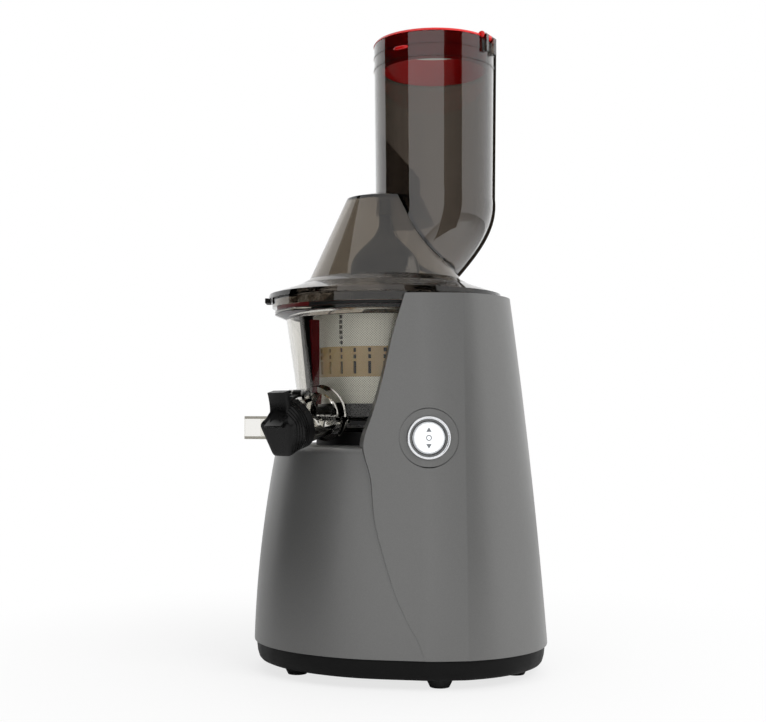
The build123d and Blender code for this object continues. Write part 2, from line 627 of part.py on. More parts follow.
def lid_inner():
    """The room inside the lid. It leaves a thicker rim that rests on the bowl's gasket."""
    wall = LID_WALL
    return lathe(
        (0, LID_LOW_Z - 1), (LID_R - 4 - wall, LID_LOW_Z - 1), (LID_R - 4 - wall, FLANGE_Z - 1),
        (LID_R - 14, FLANGE_Z), (LID_R - 17, FLANGE_Z + 3.5 - wall / 2),
        (CONE_FOOT_R + 8 - wall, CONE_FOOT_Z - 4.5 - wall), (CONE_FOOT_R - wall, CONE_FOOT_Z - wall / 2),
        (CONE_TOP_R - wall, CONE_TOP_Z - wall), (0, CONE_TOP_Z + CROWN - wall),
    )


def chute_form(inset, top_z=CHUTE_TOP_Z):
    """Chute and elbow as a filled form: a slightly tapered column whose foot swings forward over the lid."""
    column = Pos(0, CHUTE_Y, 0) * lathe(
        (0, ELBOW[0][0]), (CHUTE_FOOT_R - inset, ELBOW[0][0]), (CHUTE_TOP_R - inset, top_z), (0, top_z),
    )
    return column + loft([Pos(0, y, z) * Circle(r - inset) for z, y, r in reversed(ELBOW)])


def make_lid():
    """Smoke-tinted lid: flange, shoulder and cone, open to the chute behind."""
    lid = lid_outer() - lid_inner()
    lid -= chute_form(CHUTE_WALL) & block(400, 400, 200, MOUTH_TOP_Z)
    lid += tube(6.6, 6.6, 4.5, 4.5, AUGER_TOP_Z - 12, CONE_TOP_Z + CROWN - 2.0)
    lid = lid.solids().sort_by(SortBy.VOLUME)[-1]
    tab = ahead(-10) * Pos(0, -LID_R - 0.2, 0) * block(16, 3.4, FLANGE_Z - 2.2, FLANGE_Z + 1.2)
    PARTS["drum_lid"] = at_axis(lid)
    PARTS["lid_tab"] = at_axis(tab - lid_outer())


def chute_fin():
    """Fin on the front of the chute's wall, with a sloping top."""
    front = CHUTE_Y - CHUTE_FOOT_R + 1.0
    return side_plate(
        Polyline((0, front, FIN_TOP_Z), (0, FIN_TIP_Y, FIN_SHOULDER_Z), (0, FIN_TIP_Y, ELBOW[0][0]),
                 (0, front, ELBOW[0][0]), (0, front, FIN_TOP_Z)), FIN_T / 2
    )


def hinge_place():
    """The ring's hinge: what is drawn round the origin, with its axis along X, goes to the chute's rim."""
    return Pos(0, CHUTE_Y, 0) * ahead(HINGE_TURN) * Pos(0, -HINGE_R, HINGE_Z)


def make_chute():
    """Wide feed chute above the lid, with beads round its mouth, a spine, a fin and the ears of the ring's hinge."""
    spine = chute_form(-SPINE_OUT) & block(SPINE_W, 200, 200, CHUTE_TOP_Z - 3.0, y=CHUTE_Y + 100)
    chute = chute_form(0.0) + spine - chute_form(CHUTE_WALL, CHUTE_TOP_Z + 1) + chute_fin()
    chute = (chute - lid_outer()).solids().sort_by(SortBy.VOLUME)[-1]
    for z in (CHUTE_TOP_Z - 9.0, CHUTE_TOP_Z - 18.0):
        bead = tube(CHUTE_TOP_R + 0.3, CHUTE_TOP_R + 0.3, CHUTE_TOP_R - 1.5, CHUTE_TOP_R - 1.5, z, z + 1.2)
        chute += Pos(0, CHUTE_Y, 0) * bead
    chute -= hinge_place() * cross_pin(KNUCKLE_R + 0.5, 17.0)
    ears = Part()
    for side in (-1, 1):
        ears += cross_pin(KNUCKLE_R, 3.6, 6.4 * side) + block(3.6, 5.0, -12, 0, x=6.4 * side, y=-1.6)
    ears -= cross_pin(HINGE_PIN_R, 40)
    room = Pos(0, CHUTE_Y, 0) * disc(CHUTE_TOP_R - 1.4, 300, CHUTE_TOP_Z)
    PARTS["feed_chute"] = at_axis(chute + (hinge_place() * ears - room))
    PARTS["ring_pin"] = at_axis(hinge_place() * cross_pin(HINGE_PIN_R, 16.4))


def make_feed_ring():
    """Red ring in the chute's mouth, which swings up about a pin on the rim."""
    inner = CHUTE_TOP_R - CHUTE_WALL - 2.6
    skirt_z, rim_z = CHUTE_TOP_Z - RING_SKIRT, CHUTE_TOP_Z + 0.3
    ring = lathe(
        (inner - 1.6, skirt_z), (inner - 0.6, skirt_z), (inner + 1.9, rim_z), (CHUTE_TOP_R + 0.4, rim_z),
        (CHUTE_TOP_R - 0.6, RING_TOP_Z), (inner, RING_TOP_Z),
    )
    ring = Pos(0, CHUTE_Y, 0) * ring
    ring -= hinge_place() * block(32, 10, -5, 5, y=-5.0)
    for side in (-1, 1):
        ring -= hinge_place() * block(4.4, 7.0, -5, 5, x=6.4 * side)
    ring += hinge_place() * (cross_pin(KNUCKLE_R, 8.0) + block(8.0, 4.0, -1.7, 0.2, y=3.5))
    PARTS["feed_ring"] = at_axis(ring - hinge_place() * cross_pin(HINGE_PIN_R + 0.05, 20))


# ---------------------------------------------------------------- juice cap


def cap_grip(far):
    """Five-lobed grip on the face of the cap."""
    face = Circle(GRIP_R)
    hollow = Pos(0, GRIP_R + 4.5) * Circle(8.0)
    for i in range(LOBES):
        face -= Rot(0, 0, 360.0 * (i + 0.5) / LOBES) * hollow
    return Pos(0, -far, 0) * Rot(90, 0, 0) * extrude(face, amount=GRIP_DEPTH)


def cap_lever(far):
    """Lever on the cap: its front sweeps out to a lip, and its back is serrated."""
    top, foot = LEVER_TOP, 4.0
    front = Spline((0, -far - 4.5, top), (0, -far - 5.6, 14.0), (0, -far - GRIP_DEPTH - 4.0, 6.5))
    back = [(0, -far - GRIP_DEPTH - 3.4, foot), (0, -far + 1.0, foot), (0, -far + 1.0, 16.0)]
    for i in range(5):
        back.append((0, -far + (3.6 if i % 2 else 2.2), 17.0 + 1.8 * i))
    rest = Polyline((0, -far - GRIP_DEPTH - 4.0, 6.5), *back, (0, -far + 2.2, top), (0, -far - 4.5, top))
    return side_plate([front, rest], LEVER_W / 2)


def make_cap():
    """Black cap that closes the juice tube: a grooved sleeve with grip and lever, hinged above the tube."""
    near, far = TUBE_LENGTH + 0.3, TUBE_LENGTH + 8.0
    sleeve = rod(CAP_R, TUBE_LENGTH - 3.5, far) - rod(TUBE_R + 0.9, 0, near)
    for i in range(4):
        start = TUBE_LENGTH - 1.5 + 2.2 * i
        sleeve -= rod(CAP_R + 1, start, start + 0.8) - rod(CAP_R - 0.7, start - 1, start + 2)
    hinge = Pos(0, -CAP_PIN_OUT, CAP_PIN_UP)
    web = block(9, far - CAP_PIN_OUT, CAP_PIN_UP - 2.2, CAP_PIN_UP + 1.4, y=-(CAP_PIN_OUT + far) / 2)
    cap = sleeve + cap_grip(far) + cap_lever(far) + hinge * cross_pin(KNUCKLE_R, 9) + web
    place = juice_axis()
    PARTS["juice_cap"] = at_axis(place * (cap - hinge * cross_pin(HINGE_PIN_R + 0.05, 30)))
    bore_r, depth = TUBE_R - TUBE_WALL, 2.1
    plug = Cone(bore_r - 2.9, bore_r - 0.7, depth, align=(Align.CENTER, Align.CENTER, Align.MIN))
    PARTS["cap_seal"] = at_axis(place * Pos(0, depth - near, 0) * Rot(90, 0, 0) * plug)
    PARTS["cap_pin"] = at_axis(place * hinge * cross_pin(HINGE_PIN_R, 17))
    ears = Part()
    for side in (-1, 1):
        ears += hinge * cross_pin(KNUCKLE_R, 4, 6.8 * side)
        ears += block(4, 2 * KNUCKLE_R, TUBE_R - 4, CAP_PIN_UP, x=6.8 * side, y=-CAP_PIN_OUT)
    ears -= hinge * cross_pin(HINGE_PIN_R, 40)
    ears -= rod(TUBE_R - 1.0, -10, 60)
    PARTS["juicing_bowl"] += at_axis(place * ears)


def make_everything():
    make_housing()
    make_tray()
    make_feet()
    make_tray_screws()
    make_inlet()
    make_switch()
    make_drive()
    make_seat()
    make_bowl()
    make_pulp_spout()
    make_bowl_trim()
    make_strainer()
    make_wiper()
    make_auger()
    make_lid()
    make_chute()
    make_feed_ring()
    make_cap()


def write_parts():
    os.makedirs("parts", exist_ok=True)
    for name, shape in PARTS.items():
        export_step(shape, f"parts/{name}.step")


make_everything()
write_parts()
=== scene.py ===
import json
from math import cos, degrees, pi, radians, sin

import bmesh
import bpy
from bpy.props import FloatProperty, FloatVectorProperty, PointerProperty
from mathutils import Matrix, Vector
from mathutils.bvhtree import BVHTree


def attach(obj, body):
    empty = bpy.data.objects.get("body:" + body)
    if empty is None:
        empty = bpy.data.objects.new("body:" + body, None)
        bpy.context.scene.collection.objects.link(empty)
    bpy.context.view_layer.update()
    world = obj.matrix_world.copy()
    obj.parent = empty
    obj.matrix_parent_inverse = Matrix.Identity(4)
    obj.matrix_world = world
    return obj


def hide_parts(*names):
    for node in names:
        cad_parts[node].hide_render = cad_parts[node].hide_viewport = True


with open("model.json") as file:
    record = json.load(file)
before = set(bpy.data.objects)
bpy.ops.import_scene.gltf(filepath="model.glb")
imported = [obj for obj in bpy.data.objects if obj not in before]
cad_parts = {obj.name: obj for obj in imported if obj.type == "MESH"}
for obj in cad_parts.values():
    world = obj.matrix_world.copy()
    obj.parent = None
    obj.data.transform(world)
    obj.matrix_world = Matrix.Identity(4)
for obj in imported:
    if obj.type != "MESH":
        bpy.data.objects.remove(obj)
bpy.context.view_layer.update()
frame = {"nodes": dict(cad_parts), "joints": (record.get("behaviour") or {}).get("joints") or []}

bl_info = {
    "name": "Cold press juicer",
    "version": (1, 0, 0),
    "blender": (4, 5, 0),
    "location": "View3D > Sidebar > Juicer",
    "description": "Dresses the packed frame of a cold press juicer with its finishes and fine pieces",
    "category": "Object",
}

MM = 0.001
NODES = frame["nodes"]
JOINTS = {joint["name"]: joint for joint in frame["joints"]}
AXIS = Vector(JOINTS["motor_spin"]["pos_m"])  # a point on the upright axis of bowl, auger and drive
AXIS_FOOT = Vector((AXIS.x, AXIS.y, 0))  # where that axis meets the table

# Sizes are in mm and turns in degrees, except on the stage, which is in metres.
SHARP_ANGLE = 32.0  # edges that turn by more than this stay crisp

# Switch: how far its planes stand out from the rocking axis, and its turned rings as radius and height
SWITCH_TILT = 1.6  # the button's face looks up by this much
BEZEL_OUT = 4.5
FACE_OUT = 5.14  # just above the button's face
BEZEL = ((12.5, -6.0), (12.5, 0.5), (12.8, 1.3), (13.4, 1.8), (13.9, 1.8), (14.35, 1.4), (14.6, 0.6),
         (14.6, -6.0))
COLLAR = ((11.3, -9.0), (11.3, -1.0), (11.5, -0.7), (12.2, -0.1), (12.46, -0.1), (12.46, -9.0))
# Printed marks: height above the middle, corners, radius, inner radius, turn
MARKS = ((5.0, 3, 2.0, 0.0, 0.0), (0.0, 48, 1.9, 1.35, 0.0), (-5.0, 3, 2.0, 0.0, 180.0))
INK_DEPTH = 0.04

# Rim bands of the bowl: section as radius and height, and the arc from the front
RIM_BAND = ((78.6, 253.6), (78.6, 255.9), (79.0, 255.9), (79.25, 255.6), (79.25, 253.9), (79.0, 253.6))
BAND_ARC = (39.0, 128.0)
BAND_STEPS = 60

# Juice cap, in the frame of the juice tube: across, outward along the tube, and up
CAP_SLOPE = 16.0  # the tube slopes down by this much
PIN_OUT = 22.0  # the hinge pin
PIN_UP = 18.9
CAP_R = 17.4
CAP_STEPS = 120
# Rings of the sleeve's inner end: outward, radius, and share of the grip's outline
SLEEVE_END = ((30.3, 16.2, 0.0), (29.0, 16.2, 0.0), (29.0, CAP_R - 0.4, 0.0), (29.4, CAP_R, 0.0))
RIDGES = 6
RIDGE_START = 34.4
RIDGE_PITCH = 1.8
RIDGE = ((0.0, 0.0), (0.2, 0.55), (0.9, 0.55), (1.1, 0.0))  # each groove: outward from its start, and depth
BLEND_START = 38.0  # where the round sleeve begins to turn into the grip
BLEND_LENGTH = 8.0
CAP_FACE = 48.3
FACE_EDGE = ((-0.8, 0.0), (-0.2, 0.25), (0.0, 0.9))  # outward from the face, and in from the radius
FACE_RINGS = (0.82, 0.68, 0.54, 0.4)  # rings on the face, as shares of the radius
# Straight sides of the grip: the way that each faces, and its distance from the middle
GRIP_SIDES = ((-90.0, 17.6), (-18.8, 14.0), (51.3, 13.2), (90.0, 13.0), (128.7, 13.2), (198.8, 14.0))
GRIP_POWER = 16  # a higher one gives sharper corners

# Lever of the cap, as outward and up
LEVER_W = 17.0
LEVER_FRONT = ((42.3, 25.0), (42.2, 22.0), (42.3, 19.0), (42.6, 16.0), (43.2, 13.0), (44.2, 10.4),
               (45.8, 8.0), (47.8, 6.2), (49.8, 5.0), (51.0, 4.5))
LEVER_LIP = ((51.3, 3.9), (50.6, 3.2), (48.2, 2.2), (46.0, 1.2), (38.5, 1.2), (38.5, 15.5))
LEVER_TEETH = 4
TEETH_START = 17.0
TEETH_PITCH = 2.0
TOOTH = ((38.0, 0.0), (35.2, 0.5), (35.2, 1.1))  # outward, and up from the tooth's start
LEVER_TOP = (36.6, 25.0)
LEVER_ROUND = 0.45

# Hinge of the cap: knuckle as radius and place along the pin, web from the pin outward and up
KNUCKLE = ((1.55, -4.5), (2.3, -4.5), (2.6, -4.2), (2.6, 4.2), (2.3, 4.5), (1.55, 4.5))
WEB_SIZE = Vector((6.0, 12.0, 2.0))
WEB_PLACE = Vector((0.0, PIN_OUT + 7.0, PIN_UP - 1.3))
WEB_TILT = -0.12  # radians
WEB_ROUND = 0.5

# Skirt of the base tray: how far it stands out from the solid's wall at SKIRT_Z, and its height
SKIRT_Z = 18.0
SKIRT = ((2.1, 19.3), (1.9, 16.0), (1.4, 12.0), (0.4, 8.6), (-0.8, 7.2), (-2.6, 6.4), (-5.0, 6.1),
         (-10.3, 6.1), (-6.4, 9.5), (-2.9, 13.0), (-0.9, 17.0), (-0.7, 19.3))
SKIRT_STEPS = 240
RAY_START = 0.3  # metres from the middle, well outside the tray

# Catch of the feed ring on the chute's wall
CHUTE_MIDDLE = AXIS_FOOT + Vector((0.0, 36.7, 0.0)) * MM
CATCH_TURN = 45.3
CATCH_R = 44.2
CATCH_Z = (438.9, 441.4)
CATCH_ARC = 12.0  # length along the wall
CATCH_PROUD = 1.1
CATCH_ROOT = -0.3  # its foot lies this far inside the wall
CATCH_STEPS = 13

PIN_HEAD = ((0.0, 9.0), (1.7, 9.0), (2.3, 8.75), (2.5, 8.4), (2.5, 8.2), (0.0, 8.2))  # radius, along the pin

# Stage, in metres from the point that the lamps look at: towards the camera, to its right, and up
AIM_UP = 0.2  # from the axis point
LAMPS = (  # name, place, width and height, watts
    ("key_lamp", (0.9, 0.75, 0.9), (0.9, 0.9), 12.0),
    ("fill_lamp", (0.5, 1.3, 0.3), (0.8, 1.0), 2.5),
    ("top_lamp", (0.0, 0.0, 1.4), (1.2, 1.2), 8.0),
)
# Black flags: name, turn from the view, width, and whether it dims the soft light
FLAGS = (("left_flag", -80.0, 1.25, True), ("right_flag", 36.0, 0.7, False))
FLAG_DISTANCE = 1.1
FLAG_HEIGHT = 1.9
FLAG_MIDDLE = 0.45
TABLE_SIZE = 6.0
SENSOR_WIDTH = 36.0  # mm

# ---------------------------------------------------------------- settings


def linear(code):
    """Turns an sRGB hex value into the linear colour that shaders use."""
    channels = [int(code[i:i + 2], 16) / 255.0 for i in (1, 3, 5)]
    return tuple(c / 12.92 if c <= 0.04045 else ((c + 0.055) / 1.055) ** 2.4 for c in channels) + (1.0,)


def hex_colour(name, code, text):
    """A colour that a user would change, given as an sRGB hex value."""
    return FloatVectorProperty(name=name, description=text, subtype="COLOR", size=4, min=0, max=1,
                               default=linear(code))


class JuicerFinishes(bpy.types.PropertyGroup):
    """Colours of the parts that a user would change."""

    lacquer: hex_colour("Lacquer", "#727271", "Charcoal lacquer of the housing")
    smoke: hex_colour("Smoke tint", "#7A6C5E", "Tint of the lid and the feed chute")
    ring_red: hex_colour("Feed ring", "#F01414", "Red of the ring in the chute's mouth")
    blade_red: hex_colour("Wiper blades", "#6E0C13", "Red of the silicone blades")
    amber: hex_colour("Strainer band", "#D0B482", "Amber of the slotted resin band")
    black: hex_colour("Black plastic", "#101010", "Moulded black parts")


class JuicerView(bpy.types.PropertyGroup):
    """Where the camera stands, as seen from the bowl axis."""

    azimuth: FloatProperty(name="Azimuth", description="Turn from the front towards the switch side",
                           subtype="ANGLE", default=radians(80.0))
    distance: FloatProperty(name="Distance", description="From the bowl axis", unit="LENGTH", default=0.905)
    height: FloatProperty(name="Height", description="Above the table", unit="LENGTH", default=0.181)
    focal: FloatProperty(name="Focal length", description="For a picture 36 mm wide", min=1.0, default=58.4)
    sideways: FloatProperty(name="Sideways", description="Offset of the camera to the right of the axis",
                            unit="LENGTH", default=-0.0015)
    pitch: FloatProperty(name="Pitch", description="Upward tilt", subtype="ANGLE", default=radians(2.35))


# ---------------------------------------------------------------- material tools


def add(tree, kind, links=None, values=None, **settings):
    """Adds a shader node, sets its settings and values, and links its inputs to the given outputs."""
    node = tree.nodes.new(kind)
    for key, value in settings.items():
        setattr(node, key, value)
    for key, value in (values or {}).items():
        node.inputs[key].default_value = value
    for key, output in (links or {}).items():
        tree.links.new(output, node.inputs[key])
    return node


def new_material(name):
    """A material with a Principled shader, returned with its tree and its Object coordinates."""
    material = bpy.data.materials.new(name)
    material.use_nodes = True
    tree = material.node_tree
    tree.nodes.clear()
    surface = add(tree, "ShaderNodeBsdfPrincipled")
    add(tree, "ShaderNodeOutputMaterial", {"Surface": surface.outputs[0]})
    place = add(tree, "ShaderNodeTexCoord").outputs["Object"]
    return material, tree, surface, place


def set_sockets(surface, **values):
    """Sets the Principled shader's own sockets, whose names are given with underscores."""
    for key, value in values.items():
        surface.inputs[key.replace("_", " ")].default_value = value


def per_metre(size_mm):
    """Scale of a noise whose features are about this many millimetres across."""
    return 1.0 / (size_mm * MM)


def output_of(tree):
    """The node that hands the material to the renderer."""
    return next(node for node in tree.nodes if node.type == "OUTPUT_MATERIAL")


def shaded(colour, factor):
    """A lighter or darker shade of a colour."""
    return [min(1.0, channel * factor) for channel in colour[:3]] + [1.0]


def grain_bump(tree, surface, place, size_mm, depth_mm, strength=0.5):
    """Fine relief from noise, linked to the shader's normal."""
    noise = add(tree, "ShaderNodeTexNoise", {"Vector": place}, {"Scale": per_metre(size_mm), "Detail": 2.0})
    bump = add(tree, "ShaderNodeBump", {"Height": noise.outputs[0]},
               {"Distance": depth_mm * MM, "Strength": strength})
    tree.links.new(bump.outputs[0], surface.inputs["Normal"])


def vary_roughness(tree, surface, place, size_mm, low, high):
    """Slow change of roughness, as handling and moulding leave it."""
    noise = add(tree, "ShaderNodeTexNoise", {"Vector": place}, {"Scale": per_metre(size_mm), "Detail": 3.0})
    spread = add(tree, "ShaderNodeMapRange", {"Value": noise.outputs[0]},
                 {"From Min": 0.3, "From Max": 0.7, "To Min": low, "To Max": high})
    tree.links.new(spread.outputs[0], surface.inputs["Roughness"])


# ---------------------------------------------------------------- materials


def graphite_lacquer(finishes):
    """Metallic lacquer sprayed on moulded ABS: flakes under a satin coat give a soft, wide highlight."""
    material, tree, surface, place = new_material("graphite_lacquer")
    flakes = add(tree, "ShaderNodeTexVoronoi", {"Vector": place}, {"Scale": per_metre(0.35)})
    tone = add(tree, "ShaderNodeMixRGB", {"Fac": flakes.outputs["Color"]},
               {1: shaded(finishes.lacquer, 0.93), 2: shaded(finishes.lacquer, 1.07)})
    tree.links.new(tone.outputs[0], surface.inputs["Base Color"])
    vary_roughness(tree, surface, place, 60.0, 0.36, 0.42)
    set_sockets(surface, Metallic=0.55, Coat_Weight=0.25, Coat_Roughness=0.3)
    grain_bump(tree, surface, place, 0.8, 0.004, 0.4)
    return material


def black_abs(finishes):
    """Spark-textured black ABS: fine pits break the gloss into a matt sheen."""
    material, tree, surface, place = new_material("black_abs")
    set_sockets(surface, Base_Color=finishes.black, IOR=1.53, Specular_IOR_Level=0.12)
    vary_roughness(tree, surface, place, 12.0, 0.42, 0.55)
    grain_bump(tree, surface, place, 0.7, 0.01)
    return material


def satin_black_abs(finishes):
    """Polished-tool black ABS of the juice cap and the strainer: a smooth satin with slight flow marks."""
    material, tree, surface, place = new_material("satin_black_abs")
    set_sockets(surface, Base_Color=finishes.black, IOR=1.53, Specular_IOR_Level=0.17)
    vary_roughness(tree, surface, place, 9.0, 0.24, 0.34)
    grain_bump(tree, surface, place, 3.0, 0.02)
    return material


def moulded_rubber(finishes):
    """Moulded black rubber: dull, with a dusty grain."""
    material, tree, surface, place = new_material("moulded_rubber")
    set_sockets(surface, Base_Color=linear("#121212"), IOR=1.5)
    vary_roughness(tree, surface, place, 5.0, 0.7, 0.85)
    grain_bump(tree, surface, place, 0.9, 0.05)
    return material


def black_silicone(finishes):
    """Black silicone rubber of the seals: smooth, with a soft sheen."""
    material, tree, surface, place = new_material("black_silicone")
    set_sockets(surface, Base_Color=linear("#141414"), IOR=1.41)
    vary_roughness(tree, surface, place, 4.0, 0.4, 0.5)
    grain_bump(tree, surface, place, 1.5, 0.02)
    return material


def red_silicone(finishes):
    """Red silicone rubber of the blades: slightly see-through at its thin edges."""
    material, tree, surface, place = new_material("red_silicone")
    set_sockets(surface, Base_Color=finishes.blade_red, IOR=1.41, Subsurface_Weight=0.2,
                Subsurface_Scale=0.002)
    vary_roughness(tree, surface, place, 4.0, 0.36, 0.46)
    grain_bump(tree, surface, place, 1.5, 0.02)
    return material


def polished_chrome(finishes):
    """Satin chrome plate on a turned ring: bright, with faint turning lines."""
    material, tree, surface, place = new_material("polished_chrome")
    set_sockets(surface, Base_Color=linear("#F0F1F3"), Metallic=1.0)
    vary_roughness(tree, surface, place, 3.0, 0.16, 0.22)
    grain_bump(tree, surface, place, 0.8, 0.003)
    return material


def zinc_steel(finishes):
    """Zinc-plated steel: a dull, slightly blotched metal."""
    material, tree, surface, place = new_material("zinc_steel")
    set_sockets(surface, Base_Color=linear("#B4B5B6"), Metallic=1.0)
    vary_roughness(tree, surface, place, 4.0, 0.28, 0.45)
    grain_bump(tree, surface, place, 0.6, 0.01)
    return material


def copper_wire(finishes):
    """Enamelled copper wire, wound in layers: fine rings and a varnish gloss."""
    material, tree, surface, place = new_material("copper_wire")
    wave = add(tree, "ShaderNodeTexWave", {"Vector": place}, {"Scale": per_metre(3.0), "Distortion": 0.4},
               bands_direction="Z")
    bump = add(tree, "ShaderNodeBump", {"Height": wave.outputs[0]}, {"Distance": 0.2 * MM, "Strength": 0.8})
    tree.links.new(bump.outputs[0], surface.inputs["Normal"])
    set_sockets(surface, Base_Color=linear("#B8672F"), Metallic=1.0, Roughness=0.3)
    return material


def sintered_bronze(finishes):
    """Sintered bronze: porous, oiled metal."""
    material, tree, surface, place = new_material("sintered_bronze")
    set_sockets(surface, Base_Color=linear("#A67C48"), Metallic=1.0)
    vary_roughness(tree, surface, place, 2.0, 0.35, 0.5)
    grain_bump(tree, surface, place, 0.4, 0.03)
    return material


def solder_resist(finishes):
    """Green solder resist on glass-fibre board: glossy over faint tracks."""
    material, tree, surface, place = new_material("solder_resist")
    brick = add(tree, "ShaderNodeTexBrick", {"Vector": place},
                {"Scale": per_metre(9.0), "Color1": linear("#14502A"), "Color2": linear("#1A5E33"),
                 "Mortar": linear("#2A7A48")})
    tree.links.new(brick.outputs[0], surface.inputs["Base Color"])
    set_sockets(surface, Roughness=0.35)
    return material


def absorb(tree, colour, depth_mm):
    """Lets the inside of a clear plastic take up light; a smaller depth makes a darker plastic."""
    volume = add(tree, "ShaderNodeVolumeAbsorption", None, {"Color": colour, "Density": per_metre(depth_mm)})
    tree.links.new(volume.outputs[0], output_of(tree).inputs["Volume"])


def clear_copolyester(finishes):
    """Clear injection-moulded copolyester: almost colourless, with faint flow waves in its polish."""
    material, tree, surface, place = new_material("clear_copolyester")
    set_sockets(surface, Base_Color=linear("#F8F7F4"), Transmission_Weight=1.0, IOR=1.4,
                Specular_IOR_Level=0.3, Roughness=0.015)
    absorb(tree, linear("#CECCC6"), 10.0)
    grain_bump(tree, surface, place, 22.0, 0.05)
    return material


def smoked(finishes, name, skin, coat, depth_mm):
    """Smoke-tinted copolyester, moulded and polished: a clear skin over a body that takes up light."""
    material, tree, surface, place = new_material(name)
    set_sockets(surface, Base_Color=linear(skin), Transmission_Weight=1.0, IOR=1.56, Roughness=0.015,
                Coat_Weight=coat, Coat_Roughness=0.02)
    grain_bump(tree, surface, place, 30.0, 0.04)
    absorb(tree, finishes.smoke, depth_mm)
    return material


def smoke_chute(finishes):
    """Smoke-tinted copolyester of the chute, hard-coated: nearly black where it is seen along its wall."""
    return smoked(finishes, "smoke_chute", "#F4F0EA", 0.75, 1.72)


def smoke_lid(finishes):
    """The same copolyester, uncoated and lighter inside, for the lid with its thicker rim."""
    return smoked(finishes, "smoke_lid", "#A8A197", 0.0, 20.0)


def red_translucent(finishes):
    """Bright red moulded copolyester: glossy, and light comes through its thin skirt."""
    material, tree, surface, place = new_material("red_translucent")
    set_sockets(surface, Base_Color=finishes.ring_red, Transmission_Weight=0.35, IOR=1.5)
    vary_roughness(tree, surface, place, 8.0, 0.12, 0.2)
    grain_bump(tree, surface, place, 12.0, 0.02)
    return material


def amber_resin(finishes):
    """Moulded amber polyetherimide: a warm see-through resin with a soft gloss."""
    material, tree, surface, place = new_material("amber_resin")
    noise = add(tree, "ShaderNodeTexNoise", {"Vector": place}, {"Scale": per_metre(14.0), "Detail": 2.0})
    tone = add(tree, "ShaderNodeMixRGB", {"Fac": noise.outputs[0]},
               {1: shaded(finishes.amber, 0.85), 2: shaded(finishes.amber, 1.12)})
    tree.links.new(tone.outputs[0], surface.inputs["Base Color"])
    set_sockets(surface, Roughness=0.28, IOR=1.6, Subsurface_Weight=0.2, Subsurface_Scale=0.003)
    return material


def etched_mesh(finishes):
    """Etched stainless sheet: rows of tiny holes, at 1.2 mm pitch, twice the real one, so that they show."""
    material, tree, surface, place = new_material("etched_mesh")
    split = add(tree, "ShaderNodeSeparateXYZ", {"Vector": place})
    turn = add(tree, "ShaderNodeMath", {0: split.outputs[1], 1: split.outputs[0]}, operation="ARCTAN2")
    around = add(tree, "ShaderNodeMath", {0: turn.outputs[0]}, {1: 52.0 * MM}, operation="MULTIPLY")
    flat = add(tree, "ShaderNodeCombineXYZ", {0: around.outputs[0], 1: split.outputs[2]})
    slant = add(tree, "ShaderNodeMapping", {"Vector": flat.outputs[0]}, {"Rotation": (0, 0, pi / 4)})
    holes = add(tree, "ShaderNodeTexVoronoi", {"Vector": slant.outputs[0]},
                {"Scale": per_metre(1.2), "Randomness": 0.0}, voronoi_dimensions="2D")
    edge = add(tree, "ShaderNodeMapRange", {"Value": holes.outputs["Distance"]},
               {"From Min": 0.17, "From Max": 0.27})
    tone = add(tree, "ShaderNodeMixRGB", {"Fac": edge.outputs[0]},
               {1: linear("#6E6E66"), 2: linear("#FCFCF2")})
    tree.links.new(tone.outputs[0], surface.inputs["Base Color"])
    bump = add(tree, "ShaderNodeBump", {"Height": edge.outputs[0]}, {"Distance": 0.1 * MM, "Strength": 0.6})
    tree.links.new(bump.outputs[0], surface.inputs["Normal"])
    set_sockets(surface, Metallic=0.25, Roughness=0.42)
    return material


def glass_filled_resin(finishes):
    """Dark glass-filled resin of the auger: a close matt grain with faint fibre streaks."""
    material, tree, surface, place = new_material("glass_filled_resin")
    noise = add(tree, "ShaderNodeTexNoise", {"Vector": place}, {"Scale": per_metre(3.0), "Detail": 4.0})
    tone = add(tree, "ShaderNodeMixRGB", {"Fac": noise.outputs[0]},
               {1: linear("#202124"), 2: linear("#2C2D31")})
    tree.links.new(tone.outputs[0], surface.inputs["Base Color"])
    vary_roughness(tree, surface, place, 6.0, 0.4, 0.5)
    grain_bump(tree, surface, place, 0.8, 0.008)
    return material


def glow_painted_button(finishes):
    """White translucent cap of the switch with a painted glow: an even, cool emission brightens it, though no
    lamp lights it.
    """
    material, tree, surface, place = new_material("glow_painted_button")
    # painted glow: the faint emission makes the button brighter without any lamp behind it
    set_sockets(surface, Base_Color=linear("#F2F4F6"), Roughness=0.3, Emission_Color=linear("#F2F6FA"),
                Emission_Strength=0.25)
    grain_bump(tree, surface, place, 1.2, 0.01)
    return material


def mark_ink():
    """Grey pad-printed ink: thin and matt, with a slightly uneven lay."""
    material, tree, surface, place = new_material("mark_ink")
    set_sockets(surface, Base_Color=linear("#7C7F83"))
    vary_roughness(tree, surface, place, 0.6, 0.5, 0.7)
    grain_bump(tree, surface, place, 0.2, 0.004)
    return material


def flag_cloth():
    """Black molleton of the studio flags: a dull weave."""
    material, tree, surface, place = new_material("flag_cloth")
    set_sockets(surface, Base_Color=linear("#101010"), Specular_IOR_Level=0.1)
    vary_roughness(tree, surface, place, 4.0, 0.85, 0.95)
    return material


